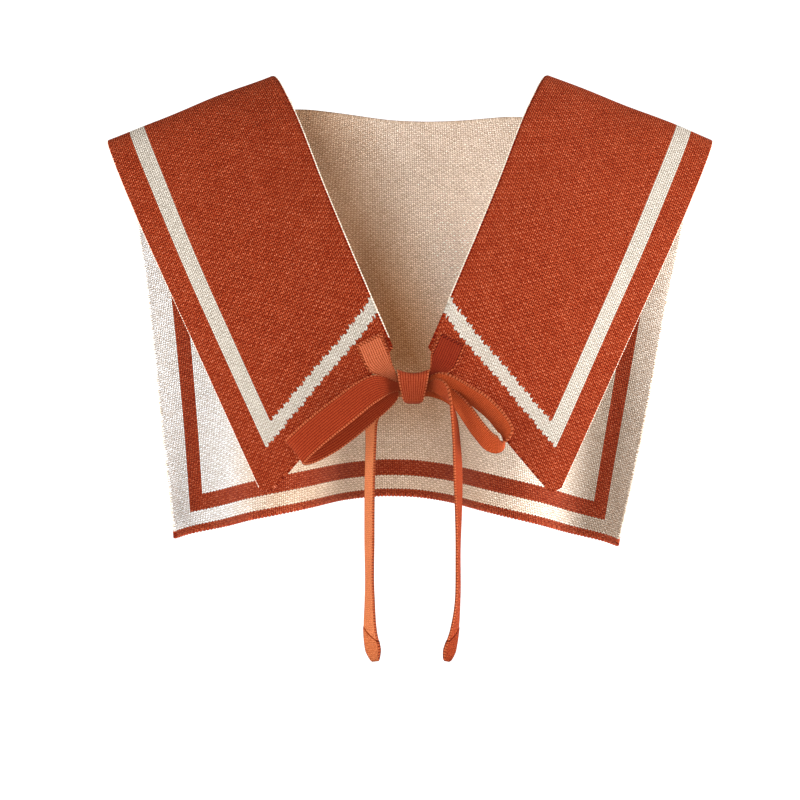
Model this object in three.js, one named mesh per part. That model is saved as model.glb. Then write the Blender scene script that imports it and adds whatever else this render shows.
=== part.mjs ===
// A knitted sailor collar in the form it has when worn: one double-faced knitted piece with a square
// back and two front panels, and a flat knitted tie on each front corner, the two tied in a bow.
// Millimetres, +Z up, +X to the viewer's right, the front faces -Y. The origin is the middle of the
// neck opening, level with the tops of the two shoulder ridges.
import * as THREE from 'three';

// The knitted piece, laid flat
const panelWidth = 121; // each front panel, straight across
const neckOpening = 172; // between the two panels, along the back neckline
const backLength = 280; // back neckline to hem
const frontInner = 229; // shoulder ridge to the panel's neck corner
const frontOuter = 287.5; // shoulder ridge to the panel's point
const hemBulge = 3.5; // how far the slanted hem stands out at its middle, down the panel
const pointBlunt = 8; // how much of the point is rounded away, along the outer edge
const fabric = 2.6; // thickness of the double knit

// How it sits on the shoulders
const ridgeInner = 95; // from the middle to the neck end of each ridge
const ridgeSlope = 20.8; // degrees that a ridge falls outwards
const neckDepth = 50; // the neckline's middle, behind the ridges
const neckDrop = 25; // and below their neck ends
const neckTilt = 2; // degrees that the neckline falls towards the right
const hemSway = -9.5; // the hem's middle hangs this far to the right of the neckline's
const hemTilt = 1; // degrees that the hem falls towards the right
const cornerPull = 5; // the bow draws each neck corner this far

// The ties and their bow
const strapWidth = 19;
const strapThick = 2.6;
const strapGap = 0.5; // between straps that lie on each other
const sewnLength = 17; // of each tie, on its panel
const sewnInset = 1.5; // from the sewn end to the panel's neck edge and hem
const sewnLift = 1; // clearance under the sewn end, where the panel bends
const knotWidth = 20;
const knotRoom = 2.3; // between the straps in the knot and its wrap
const knotBelow = 25.5; // from the neck corners down to the knot's middle
const knotAhead = 7; // and forward
const bowOffset = 1.6; // the knot's middle, to the right of the neck's
const loopReach = 75; // knot's middle to the end of the wide loop
const tailDrop = 180; // knot's middle down to the end of a tail

// Shares that shape the pieces
const gather = 0.34; // of a strap's width that is left inside the knot
const knotTaper = 0.14; // of knotWidth that the wrap gains at its top and loses at its bottom
const knotSquare = 0.6; // 0 for an oval wrap, 1 for a square one
const knotPlaces = [0.08, 0.3, 0.56]; // of knotWidth, a strap's sections in and at the knot
const bendPlace = 0.45; // of a tie's free stretch, from the knot to where it bends
const bendWidth = 0.5; // of strapWidth, at that bend
const levelEnd = 0.25; // of the half neckline, where the back's levels have their full fall
const wrapStart = 0.1; // of the half neckline, where the back starts to turn forward
const wrapEnd = 0.25; // of a panel's width, where that turn ends and the side's turn out starts
const flareEnd = 0.8; // of a panel's width, where that turn ends and the edge's turn in starts
const pullSpread = 0.33; // of a panel's width, how far round the corner the bow's pull is felt
const edgeBias = 1.25; // above 1, a panel's facets are narrower towards its outer edge
const bendBias = 1.15; // above 1, its facets are shorter towards the ridge

// How finely the pieces are faceted, in millimetres, and the small step that traces a curve
const bodyStep = 13.5;
const strapStep = 5.5;
const traceStep = 1;
const yokeRows = 4;
const knotTurns = 12;

// The front panel, a row for each section across it. at: share of frontOuter from the ridge.
// pitch: degrees of its run from straight down towards the front. lean: degrees that it leans in,
// more than ridgeSlope. turn: degrees that its outer edge is swung back. crown: the bulge along its
// middle. toe: how far its neck edge is drawn in. Both are shares of panelWidth.
const frontSections = [
  { at: 0.0, pitch: 90, lean: 0, turn: 0, crown: 0, toe: 0 },
  { at: 0.045, pitch: 60, lean: 0.7, turn: 1, crown: 0.008, toe: 0.02 },
  { at: 0.11, pitch: 34, lean: 1.7, turn: 4, crown: 0.018, toe: 0.036 },
  { at: 0.22, pitch: 24, lean: 2.7, turn: 8, crown: 0.03, toe: 0.047 },
  { at: 0.4, pitch: 17, lean: 3.7, turn: 12, crown: 0.04, toe: 0.034 },
  { at: 0.6, pitch: 10, lean: 4, turn: 15, crown: 0.04, toe: 0.022 },
  { at: 0.8, pitch: 5, lean: 4, turn: 15, crown: 0.034, toe: 0 },
  { at: 1.0, pitch: 2, lean: 4.7, turn: 13, crown: 0.025, toe: 0 },
];

// The back, a row for each level across it. down: share of backLength below the neckline. pitch:
// degrees of its run from straight down towards the back. wrap: degrees that the back turns forward
// round the body. flare: degrees that the side then turns back out. curl: degrees that its edge
// turns forward again. middle: degrees that the level falls outwards at the middle. side: the same
// at the sides, a share of ridgeSlope.
const backLevels = [
  { down: 0.0, pitch: 45, wrap: 24, flare: 0, curl: 0, middle: -3, side: 1.0 },
  { down: 0.14, pitch: 28, wrap: 32, flare: 4, curl: 0, middle: 0, side: 0.91 },
  { down: 0.38, pitch: 12, wrap: 48, flare: 14, curl: 6, middle: 2, side: 0.79 },
  { down: 0.7, pitch: 2, wrap: 58, flare: 31, curl: 27, middle: 4, side: 0.67 },
  { down: 1.0, pitch: -2, wrap: 62, flare: 48, curl: 55, middle: 5, side: 0.58 },
];

// The straps outside the knot, a row for each section. x: share of the wide loop's length outside
// the knot, from the knot's side. y: share of strapWidth, behind the knot's middle. z: share of
// loopReach or tailDrop, above it. ax, ay, az: the direction across the strap. width: share of
// strapWidth, less where the strap is still gathered.
const leftLoop = [
  { x: 0.215, y: -0.63, z: -0.01, ax: 0.45, ay: -0.12, az: -0.85, width: 0.9 },
  { x: 0.562, y: -0.95, z: -0.22, ax: 0.6, ay: 0.0, az: -0.8, width: 1.0 },
  { x: 0.885, y: -0.95, z: -0.45, ax: 0.62, ay: 0.05, az: -0.78, width: 1.0 },
  { x: 1.0, y: -0.59, z: -0.555, ax: 0.62, ay: 0.05, az: -0.78, width: 1.0 },
  { x: 0.908, y: -0.18, z: -0.55, ax: 0.6, ay: 0.05, az: -0.8, width: 1.0 },
  { x: 0.677, y: 0.0, z: -0.45, ax: 0.58, ay: 0.08, az: -0.8, width: 1.0 },
  { x: 0.354, y: 0.06, z: -0.25, ax: 0.5, ay: 0.1, az: -0.85, width: 0.9 },
  { x: 0.077, y: 0.0, z: -0.075, ax: 0.2, ay: 0.05, az: -0.95, width: 0.6 },
];
const rightLoop = [
  { x: 0.06, y: -0.02, z: 0.052, ax: 0.0, ay: 0.1, az: -1.0, width: 0.45 },
  { x: 0.169, y: -0.1, z: 0.045, ax: -0.2, ay: 0.7, az: -0.6, width: 0.75 },
  { x: 0.331, y: -0.12, z: -0.03, ax: -0.26, ay: 0.83, az: -0.49, width: 0.95 },
  { x: 0.523, y: -0.2, z: -0.137, ax: -0.26, ay: 0.83, az: -0.49, width: 1.0 },
  { x: 0.677, y: -0.24, z: -0.265, ax: -0.26, ay: 0.83, az: -0.49, width: 1.0 },
  { x: 0.769, y: -0.24, z: -0.4, ax: -0.28, ay: 0.83, az: -0.49, width: 1.0 },
  { x: 0.729, y: -0.24, z: -0.49, ax: -0.3, ay: 0.8, az: -0.5, width: 1.0 },
  { x: 0.631, y: -0.22, z: -0.49, ax: -0.3, ay: 0.8, az: -0.5, width: 1.0 },
  { x: 0.498, y: -0.16, z: -0.375, ax: -0.3, ay: 0.83, az: -0.45, width: 1.0 },
  { x: 0.388, y: -0.02, z: -0.24, ax: -0.3, ay: 0.8, az: -0.45, width: 0.95 },
  { x: 0.308, y: 0.1, z: -0.15, ax: -0.25, ay: 0.75, az: -0.55, width: 0.8 },
  { x: 0.192, y: 0.18, z: -0.07, ax: -0.1, ay: 0.4, az: -0.85, width: 0.6 },
];
const leftTail = [
  { x: 0.05, y: 0.2, z: -0.02, ax: 0.1, ay: -0.1, az: -1.0, width: 0.5 },
  { x: 0.158, y: 0.47, z: -0.05, ax: 0.4, ay: -0.6, az: -0.6, width: 0.75 },
  { x: 0.25, y: 0.53, z: -0.11, ax: 0.45, ay: -0.88, az: -0.15, width: 0.85 },
  { x: 0.267, y: 0.47, z: -0.21, ax: 0.38, ay: -0.9, az: 0.0, width: 0.85 },
  { x: 0.279, y: 0.4, z: -0.36, ax: 0.36, ay: -0.91, az: 0.0, width: 0.85 },
  { x: 0.282, y: 0.36, z: -0.56, ax: 0.35, ay: -0.92, az: 0.0, width: 0.85 },
  { x: 0.279, y: 0.32, z: -0.76, ax: 0.35, ay: -0.92, az: 0.0, width: 0.85 },
  { x: 0.273, y: 0.3, z: -0.88, ax: 0.5, ay: -0.85, az: -0.1, width: 0.85 },
  { x: 0.244, y: 0.28, z: -0.95, ax: 0.7, ay: -0.65, az: -0.2, width: 0.7 },
  { x: 0.221, y: 0.28, z: -0.99, ax: 0.75, ay: -0.55, az: -0.3, width: 0.3 },
];
const rightTail = [
  { x: 0.06, y: -0.22, z: 0.004, ax: 0.0, ay: 0.05, az: -1.0, width: 0.45 },
  { x: 0.129, y: -0.5, z: -0.008, ax: -0.2, ay: 0.5, az: -0.85, width: 0.6 },
  { x: 0.192, y: -0.62, z: -0.04, ax: 0.0, ay: 0.9, az: -0.4, width: 0.75 },
  { x: 0.238, y: -0.58, z: -0.095, ax: 0.2, ay: 0.97, az: -0.1, width: 0.8 },
  { x: 0.273, y: -0.38, z: -0.2, ax: 0.28, ay: 0.96, az: 0.0, width: 0.8 },
  { x: 0.296, y: 0.0, z: -0.4, ax: 0.28, ay: 0.96, az: 0.0, width: 0.8 },
  { x: 0.294, y: 0.2, z: -0.6, ax: 0.15, ay: 0.98, az: 0.0, width: 0.8 },
  { x: 0.29, y: 0.28, z: -0.77, ax: 0.18, ay: 0.98, az: 0.0, width: 0.8 },
  { x: 0.256, y: 0.32, z: -0.88, ax: 0.35, ay: 0.9, az: 0.1, width: 0.8 },
  { x: 0.21, y: 0.3, z: -0.95, ax: 0.6, ay: 0.75, az: 0.3, width: 0.7 },
  { x: 0.181, y: 0.28, z: -0.99, ax: 0.65, ay: 0.65, az: 0.4, width: 0.3 },
];

const rad = THREE.MathUtils.degToRad;
const down = new THREE.Vector3(0, 0, -1);
const forward = new THREE.Vector3(0, -1, 0);
const halfNeck = neckOpening / 2;
const halfWidth = halfNeck + panelWidth;
const count = (length, step) => Math.max(2, Math.round(length / step));

// A table's column at a place between its rows, as a smooth curve through them.
function column(table, place, name, at) {
  let i = 0;
  while (i < table.length - 2 && at > table[i + 1][place]) i += 1;
  const slope = (a, b) => (table[b][name] - table[a][name]) / (table[b][place] - table[a][place]);
  const gap = table[i + 1][place] - table[i][place];
  const here = slope(i, i + 1);
  const before = i > 0 ? slope(i - 1, i + 1) : here;
  const after = i < table.length - 2 ? slope(i, i + 2) : here;
  const t = (at - table[i][place]) / gap;
  const h = t * t * (3 - 2 * t);
  const bend = t * (1 - t) * (1 - t) * before - t * t * (1 - t) * after;
  return table[i][name] * (1 - h) + table[i + 1][name] * h + bend * gap;
}

// Half a wave that rises from 0 at one place and falls to 0 at another.
function halfWave(at, from, to) {
  return at <= from || at >= to ? 0 : Math.sin((Math.PI * (at - from)) / (to - from));
}

// A point at a distance along a line that was traced in small steps.
function alongTrace(trace, distance) {
  const i = Math.min(Math.floor(distance / traceStep), trace.length - 2);
  return trace[i].clone().lerp(trace[i + 1], distance / traceStep - i);
}

// The right-hand panel's directions at v millimetres from the ridge: down its run, out towards its
// outer edge, and out of its face.
function frontDirections(v) {
  const get = (name) => column(frontSections, 'at', name, v / frontOuter);
  const [pitch, lean, turn] = [rad(get('pitch')), rad(ridgeSlope + get('lean')), rad(get('turn'))];
  const along = new THREE.Vector3(-Math.sin(lean), 0, -Math.cos(lean));
  along.multiplyScalar(Math.cos(pitch)).addScaledVector(forward, Math.sin(pitch));
  const across = new THREE.Vector3(Math.cos(lean), 0, -Math.sin(lean));
  across.multiplyScalar(Math.cos(turn)).addScaledVector(forward, -Math.sin(turn));
  const face = along.clone().cross(across).normalize();
  return { along, across, face };
}

// The panel's middle line, traced down from the ridge.
function traceFront() {
  const place = new THREE.Vector3(ridgeInner, 0, -fabric / 2);
  place.addScaledVector(frontDirections(0).across, panelWidth / 2);
  const trace = [place.clone()];
  for (let v = traceStep / 2; v < frontOuter + traceStep; v += traceStep) {
    trace.push(place.addScaledVector(frontDirections(v).along, traceStep).clone());
  }
  return trace;
}

const frontTrace = traceFront();
const pullDirection = new THREE.Vector3(-0.6, -0.35, -0.7);

// A point of the right-hand panel: c from 0 at the neck edge to 1 at the outer edge, v millimetres
// from the ridge.
function frontPoint(c, v) {
  const point = alongTrace(frontTrace, v);
  const { across, face } = frontDirections(v);
  const crown = column(frontSections, 'at', 'crown', v / frontOuter) * panelWidth;
  const toe = column(frontSections, 'at', 'toe', v / frontOuter);
  point.addScaledVector(across, (c - 0.5 - toe * (1 - c)) * panelWidth);
  point.addScaledVector(face, crown * (1 - (2 * c - 1) ** 2));
  const away = Math.hypot(c * panelWidth, frontInner - v) / (pullSpread * panelWidth);
  return point.addScaledVector(pullDirection, cornerPull * Math.exp(-away * away));
}

// Where the panel ends at c: its hem slants from the neck corner to the point, with a slight bulge,
// and the point is rounded.
function frontEnd(c) {
  const tip = Math.max(0, 1 - ((1 - c) * panelWidth) / pointBlunt);
  const bulge = hemBulge * (1 - (2 * c - 1) ** 2);
  return frontInner + (frontOuter - frontInner) * c + bulge - pointBlunt * tip ** 2;
}

// The middle of the back at a level, traced down from the neckline by its pitch.
function backMiddle(share) {
  const place = new THREE.Vector3(0, neckDepth, -neckDrop);
  const steps = Math.ceil((share * backLength) / traceStep);
  for (let i = 0; i < steps; i += 1) {
    const length = (share * backLength) / steps;
    const pitch = rad(column(backLevels, 'down', 'pitch', (share * (i + 0.5)) / steps));
    place.addScaledVector(down, Math.cos(pitch) * length);
    place.addScaledVector(forward, -Math.sin(pitch) * length);
  }
  return place;
}

// One level of the back's right-hand half, traced outwards from the middle by its turns.
function traceBack(share) {
  const get = (name) => column(backLevels, 'down', name, share);
  const [wrap, flare, curl, middle] = ['wrap', 'flare', 'curl', 'middle'].map((name) => rad(get(name)));
  const side = rad(get('side') * ridgeSlope);
  const wrapFrom = wrapStart * halfNeck;
  const wrapTo = halfNeck + wrapEnd * panelWidth;
  const flareTo = halfNeck + flareEnd * panelWidth;
  const curlTo = 2 * halfWidth - flareTo;
  const place = backMiddle(share);
  const trace = [place.clone()];
  for (let u = traceStep / 2; u < halfWidth + traceStep; u += traceStep) {
    const turn = wrap * halfWave(u, wrapFrom, wrapTo) - flare * halfWave(u, wrapTo, flareTo)
      + curl * halfWave(u, flareTo, curlTo);
    const inner = middle * THREE.MathUtils.smoothstep(u, 0, levelEnd * halfNeck);
    const out = THREE.MathUtils.smoothstep(u, (wrapFrom + wrapTo) / 2, wrapTo);
    const fall = inner + (side - inner) * out;
    const level = new THREE.Vector3(Math.cos(turn), -Math.sin(turn), 0);
    place.addScaledVector(level, Math.cos(fall) * traceStep);
    place.addScaledVector(down, Math.sin(fall) * traceStep);
    trace.push(place.clone());
  }
  return trace;
}

// The stretch from the neckline's level up over the shoulder to the ridge, at share t: a smooth
// curve that leaves the back along its run and meets the ridge along the front panel's run.
function yokePoint(c, t, neckTrace, belowTrace) {
  const u = halfNeck + c * panelWidth;
  const from = alongTrace(neckTrace, u);
  const to = frontPoint(c, 0);
  const length = from.distanceTo(to);
  const start = from.clone().sub(alongTrace(belowTrace, u)).setLength(length);
  const end = frontPoint(c, traceStep).sub(to).setLength(length);
  const h = t * t * (3 - 2 * t);
  const point = from.clone().lerp(to, h);
  point.addScaledVector(start, t * (1 - t) * (1 - t));
  return point.addScaledVector(end, -t * t * (1 - t));
}

// Lets a point of the back or the yoke fall towards the right by an angle in degrees.
function tilt(point, degrees) {
  point.z -= point.x * Math.tan(rad(degrees));
  return point;
}

// A wall of cloth from its middle surface: points, four-sided cells that share them, a thickness.
function wall(points, cells, thickness) {
  const sheet = new THREE.BufferGeometry().setFromPoints(points);
  const triangles = cells.flatMap(([a, b, c, d]) => [a, b, c, a, c, d]);
  sheet.setIndex(triangles);
  sheet.computeVertexNormals();
  const normals = sheet.getAttribute('normal');
  const side = (offset) => points.map((point, i) => {
    const normal = new THREE.Vector3().fromBufferAttribute(normals, i);
    return point.clone().addScaledVector(normal, offset);
  });
  const n = points.length;
  const index = [...triangles];
  for (let i = 0; i < triangles.length; i += 3) {
    index.push(triangles[i] + n, triangles[i + 2] + n, triangles[i + 1] + n);
  }
  const rim = new Map();
  for (const cell of cells) {
    cell.forEach((a, i) => {
      const b = cell[(i + 1) % cell.length];
      if (!rim.delete(`${b} ${a}`)) rim.set(`${a} ${b}`, [a, b]);
    });
  }
  for (const [a, b] of rim.values()) index.push(a, b + n, b, a, a + n, b + n);
  const solid = new THREE.BufferGeometry();
  solid.setFromPoints([...side(thickness / 2), ...side(-thickness / 2)]);
  solid.setIndex(index);
  return solid;
}

// The columns' places across a panel, from 0 at its neck edge to 1 at its outer edge.
function panelColumns() {
  const columns = count(panelWidth, bodyStep);
  return Array.from({ length: columns + 1 }, (_, i) => 1 - (1 - i / columns) ** edgeBias);
}

// The back's points, row by row from the hem up to the neckline, each row from left to right.
function backRows() {
  const neckColumns = count(halfNeck, bodyStep);
  const distances = [];
  for (let i = 0; i < neckColumns; i += 1) distances.push((halfNeck * i) / neckColumns);
  for (const c of panelColumns()) distances.push(halfNeck + c * panelWidth);
  const mirrored = distances.slice(1).reverse().map((u) => -u);
  const rows = [];
  const levels = count(backLength, bodyStep);
  for (let row = 0; row <= levels; row += 1) {
    const share = 1 - row / levels;
    const trace = traceBack(share);
    rows.push([...mirrored, ...distances].map((u) => {
      const point = alongTrace(trace, Math.abs(u));
      point.x = Math.sign(u) * point.x + hemSway * share ** 1.5;
      return tilt(point, neckTilt + (hemTilt - neckTilt) * share);
    }));
  }
  return rows;
}

// One side's points above the back's top row: over the shoulder, then down the front to its hem.
function sideRows(side) {
  const neckTrace = traceBack(0);
  const belowTrace = traceBack(traceStep / backLength);
  const places = side < 0 ? panelColumns().reverse() : panelColumns();
  const frontRows = count(frontOuter, bodyStep);
  const rows = [];
  for (let row = 1; row <= yokeRows; row += 1) {
    const t = row / yokeRows;
    const left = neckTilt * (1 - THREE.MathUtils.smoothstep(t, 0, 1));
    rows.push(places.map((c) => tilt(yokePoint(c, t, neckTrace, belowTrace), side * left)));
  }
  for (let row = 1; row <= frontRows; row += 1) {
    const share = (row / frontRows) ** bendBias;
    rows.push(places.map((c) => frontPoint(c, share * frontEnd(c))));
  }
  for (const point of rows.flat()) point.x *= side;
  return rows;
}

// The knitted piece: a grid of cells for the back, and one for each side that starts on the outer
// columns of the back's top row.
function collarBody() {
  const points = [];
  const cells = [];
  const addRow = (row) => row.map((point) => points.push(point) - 1);
  const join = (lower, upper) => {
    for (let i = 0; i < lower.length - 1; i += 1) {
      cells.push([lower[i], lower[i + 1], upper[i + 1], upper[i]]);
    }
  };
  const back = backRows().map(addRow);
  for (let row = 1; row < back.length; row += 1) join(back[row - 1], back[row]);
  const top = back[back.length - 1];
  const across = panelColumns().length;
  for (const side of [-1, 1]) {
    let lower = side < 0 ? top.slice(0, across) : top.slice(-across);
    for (const row of sideRows(side)) {
      const upper = addRow(row);
      join(lower, upper);
      lower = upper;
    }
  }
  return wall(points, cells, fabric);
}

// A strap's section: its flat faces, and an edge line that stands out by half the thickness. across
// and out are shares of the width and of half the thickness, and so is up.
const strapProfile = [
  { across: -0.5, out: 0, up: 0 },
  { across: -0.5, out: 1, up: 1 },
  { across: 0.5, out: -1, up: 1 },
  { across: 0.5, out: 0, up: 0 },
  { across: 0.5, out: -1, up: -1 },
  { across: -0.5, out: 1, up: -1 },
];

// A strap through sections of { at, across, width }, with two ends or closed in a ring.
function strap(sections, ring = false) {
  const curve = (pick) => new THREE.CatmullRomCurve3(sections.map(pick), ring, 'centripetal');
  const middle = curve((section) => section.at);
  const acrossCurve = curve((section) => section.across);
  const widthCurve = curve((section) => new THREE.Vector3(section.width, 0, 0));
  const steps = count(middle.getLength(), strapStep);
  const rings = ring ? steps : steps + 1;
  const half = strapThick / 2;
  const points = [];
  for (let i = 0; i < rings; i += 1) {
    const t = i / steps;
    const along = middle.getTangent(t);
    const across = acrossCurve.getPoint(t);
    across.addScaledVector(along, -across.dot(along)).normalize();
    const face = along.clone().cross(across);
    const width = widthCurve.getPoint(t).x;
    for (const corner of strapProfile) {
      const point = middle.getPoint(t).addScaledVector(across, corner.across * width + corner.out * half);
      points.push(point.addScaledVector(face, corner.up * half));
    }
  }
  const n = strapProfile.length;
  const index = [];
  for (let i = 0; i < steps; i += 1) {
    const [a, b] = [i * n, ((i + 1) % rings) * n];
    for (let j = 0; j < n; j += 1) {
      const k = (j + 1) % n;
      index.push(a + j, b + j, a + k, b + j, b + k, a + k);
    }
  }
  if (!ring) {
    const last = steps * n;
    for (let j = 1; j < n - 1; j += 1) index.push(0, j, j + 1, last, last + j + 1, last + j);
  }
  const solid = new THREE.BufferGeometry().setFromPoints(points);
  solid.setIndex(index);
  return solid;
}

// The knot holds the straps in three layers, one behind the other, each whole or in two halves.
const gathered = gather * strapWidth;
const layerDepth = strapThick + strapGap;
const halfSlot = (gathered + strapGap) / 2;
const knotHeight = 2 * (gathered + knotRoom + strapThick) + strapGap;
const knotDepth = 3 * strapThick + 2 * (strapGap + knotRoom + strapThick);
const neckCorner = frontPoint(0, frontInner);
const knot = new THREE.Vector3(bowOffset, neckCorner.y - knotAhead, neckCorner.z - knotBelow);

// A strap's sections in the knot, from near its middle to just past its side. layer: -1 in front,
// 1 behind. slot: 1 in the upper half, -1 in the lower half.
function inKnot(side, layer, slot) {
  return knotPlaces.map((share) => ({
    at: new THREE.Vector3(side * share * knotWidth, layer * layerDepth, slot * halfSlot).add(knot),
    across: down.clone(),
    width: gathered,
  }));
}

// A table's sections outside the knot.
function outOfKnot(table, side, height) {
  const reach = loopReach - knotWidth / 2;
  return table.map((row) => ({
    at: new THREE.Vector3(
      side * (knotWidth / 2 + row.x * reach),
      row.y * strapWidth,
      row.z * height,
    ).add(knot),
    across: new THREE.Vector3(row.ax, row.ay, row.az),
    width: row.width * strapWidth,
  }));
}

// The sewn end of a tie: flat on the panel's neck corner, then off its hem and into the knot.
function tieRoot(side) {
  const c = (strapWidth / 2 + sewnInset) / panelWidth;
  const sewn = [1, 0.5, 0].map((share) => {
    const v = frontEnd(c) - sewnInset - share * (sewnLength - sewnInset);
    const { across, face } = frontDirections(v);
    const at = frontPoint(c, v).addScaledVector(face, (fabric + strapThick) / 2 + sewnLift);
    at.x *= side;
    across.x *= side;
    return { at, across, width: strapWidth };
  });
  const knotted = inKnot(side, 1, 1).reverse();
  const bend = {
    at: knotted[0].at.clone().lerp(sewn[2].at, bendPlace),
    across: new THREE.Vector3(0.4 * side, 0, -1),
    width: bendWidth * strapWidth,
  };
  return strap([...sewn, bend, ...knotted]);
}

// The wrap round the middle of the bow, narrower at the bottom.
function bowKnot() {
  const high = (knotHeight - strapThick) / 2;
  const deep = (knotDepth - strapThick) / 2;
  const sections = Array.from({ length: knotTurns }, (_, i) => {
    const angle = (2 * Math.PI * i) / knotTurns;
    const [y, z] = [-Math.cos(angle), Math.sin(angle)];
    const square = Math.max(Math.abs(y), Math.abs(z)) ** -knotSquare;
    return {
      at: new THREE.Vector3(0, y * deep * square, z * high * square).add(knot),
      across: new THREE.Vector3(1, 0, 0),
      width: knotWidth * (1 - knotTaper + knotTaper * z),
    };
  });
  return strap(sections, true);
}

const panelRust = new THREE.MeshStandardMaterial({ color: 0xa33f21, roughness: 0.9, metalness: 0 });
const tieRust = new THREE.MeshStandardMaterial({ color: 0xb04a26, roughness: 0.9, metalness: 0 });

const collar = new THREE.Group();

function add(name, geometry, material) {
  const mesh = new THREE.Mesh(geometry, material);
  mesh.name = name;
  collar.add(mesh);
}

const around = (side, first, table, last, height) => strap([
  ...inKnot(side, ...first),
  ...outOfKnot(table, side, height),
  ...inKnot(side, ...last).reverse(),
]);
const hanging = (side, first, table) => strap([
  ...inKnot(side, ...first),
  ...outOfKnot(table, side, tailDrop),
]);

add('collar_body', collarBody(), panelRust);
add('tie_root_left', tieRoot(-1), tieRust);
add('tie_root_right', tieRoot(1), tieRust);
add('bow_knot', bowKnot(), tieRust);
add('bow_loop_left', around(-1, [-1, 0], leftLoop, [0, 0], loopReach), tieRust);
add('bow_loop_right', around(1, [0, 0.8], rightLoop, [1, -1], loopReach), tieRust);
add('tie_tail_left', hanging(-1, [1, -1], leftTail), tieRust);
add('tie_tail_right', hanging(1, [-1, 0], rightTail), tieRust);

export default collar;
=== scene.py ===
"""A knitted sailor collar as it sits when worn: a double-faced knitted piece, rust outside and cream
inside with a stripe in the other colour, and two flat knitted ties in a bow at the neck."""

import bpy
import numpy as np
from mathutils import Euler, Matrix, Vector


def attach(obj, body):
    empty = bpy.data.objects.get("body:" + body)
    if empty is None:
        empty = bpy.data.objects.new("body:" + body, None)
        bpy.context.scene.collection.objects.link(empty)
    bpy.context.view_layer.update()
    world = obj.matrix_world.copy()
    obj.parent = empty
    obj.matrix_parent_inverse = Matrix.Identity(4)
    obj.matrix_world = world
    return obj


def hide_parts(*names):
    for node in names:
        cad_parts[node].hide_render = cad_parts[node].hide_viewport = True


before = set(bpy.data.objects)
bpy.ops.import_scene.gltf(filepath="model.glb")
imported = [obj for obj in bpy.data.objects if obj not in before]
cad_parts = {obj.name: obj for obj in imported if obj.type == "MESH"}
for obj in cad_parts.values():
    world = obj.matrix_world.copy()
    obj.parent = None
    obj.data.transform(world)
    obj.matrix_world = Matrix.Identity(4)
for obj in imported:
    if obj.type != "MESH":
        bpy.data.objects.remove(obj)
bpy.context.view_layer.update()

# The knitted piece, its sizes in millimetres. The back and both front panels are knitted as one,
# with the knit's wales running from the back hem up over the shoulders and down to the front hems.
panel_width = 121.0
neck_opening = 172.0
back_length = 280.0
front_inner = 229.0
front_outer = 287.5
hem_bulge = 3.5
point_blunt = 8.0
fabric = 2.6
ridge_inner = 95.0
ridge_slope = 20.8
neck_depth = 50.0
neck_drop = 25.0
neck_tilt = 2.0
hem_sway = -9.5
sway_curve = 1.5
hem_tilt = 1.0
corner_pull = 5.0
pull_spread = 0.33
level_end = 0.25
wrap_start = 0.1
wrap_end = 0.25
flare_end = 0.8
half_neck = neck_opening / 2
half_width = half_neck + panel_width
trace_step = 1.0
down = np.array((0.0, 0.0, -1.0))
forward = np.array((0.0, -1.0, 0.0))
pull_direction = np.array((-0.6, -0.35, -0.7))


def table(names, *rows):
    """A table as one array for each named column."""
    return dict(zip(names.split(), np.array(rows, float).T))


# The front panel's sections from the ridge down, and the back's levels from the neckline down.
front_sections = table(
    "at pitch lean turn crown toe",
    (0.0, 90, 0, 0, 0, 0),
    (0.045, 60, 0.7, 1, 0.008, 0.02),
    (0.11, 34, 1.7, 4, 0.018, 0.036),
    (0.22, 24, 2.7, 8, 0.03, 0.047),
    (0.4, 17, 3.7, 12, 0.04, 0.034),
    (0.6, 10, 4, 15, 0.04, 0.022),
    (0.8, 5, 4, 15, 0.034, 0),
    (1.0, 2, 4.7, 13, 0.025, 0),
)
back_levels = table(
    "at pitch wrap flare curl middle side",
    (0.0, 45, 24, 0, 0, -3, 1.0),
    (0.14, 28, 32, 4, 0, 0, 0.91),
    (0.38, 12, 48, 14, 6, 2, 0.79),
    (0.7, 2, 58, 31, 27, 4, 0.67),
    (1.0, -2, 62, 48, 55, 5, 0.58),
)


def column(rows, name, at):
    """A table's column between its rows: the cubic through both rows whose slope at each row is
    that of the line through the row's two neighbours."""
    place, value = rows["at"], rows[name]
    slope = np.zeros_like(value)
    slope[1:-1] = (value[2:] - value[:-2]) / (place[2:] - place[:-2])
    slope[0] = (value[1] - value[0]) / (place[1] - place[0])
    slope[-1] = (value[-1] - value[-2]) / (place[-1] - place[-2])
    i = np.searchsorted(place[1:-1], at)
    gap = place[i + 1] - place[i]
    t = (at - place[i]) / gap
    h = t * t * (3 - 2 * t)
    bend = t * (1 - t) ** 2 * slope[i] - t * t * (1 - t) * slope[i + 1]
    return value[i] * (1 - h) + value[i + 1] * h + bend * gap


def half_wave(at, start, end):
    """Half a sine wave from start to end, and 0 outside them."""
    share = np.clip((at - start) / (end - start), 0, 1)
    return np.sin(np.pi * share)


def smooth_step(at, start, end):
    """The cubic 3t^2 - 2t^3 from 0 at the start to 1 at the end."""
    t = np.clip((at - start) / (end - start), 0, 1)
    return t * t * (3 - 2 * t)


def along_trace(trace, distance):
    """The points at distances along traces of equal steps, between the two nearest steps."""
    i = np.clip(np.floor(distance / trace_step).astype(int), 0, trace.shape[-2] - 2)
    t = (distance / trace_step - i)[..., None]
    return trace[..., i, :] * (1 - t) + trace[..., i + 1, :] * t


def unit(vectors):
    """Vectors at length 1."""
    return vectors / np.linalg.norm(vectors, axis=-1, keepdims=True)


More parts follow.
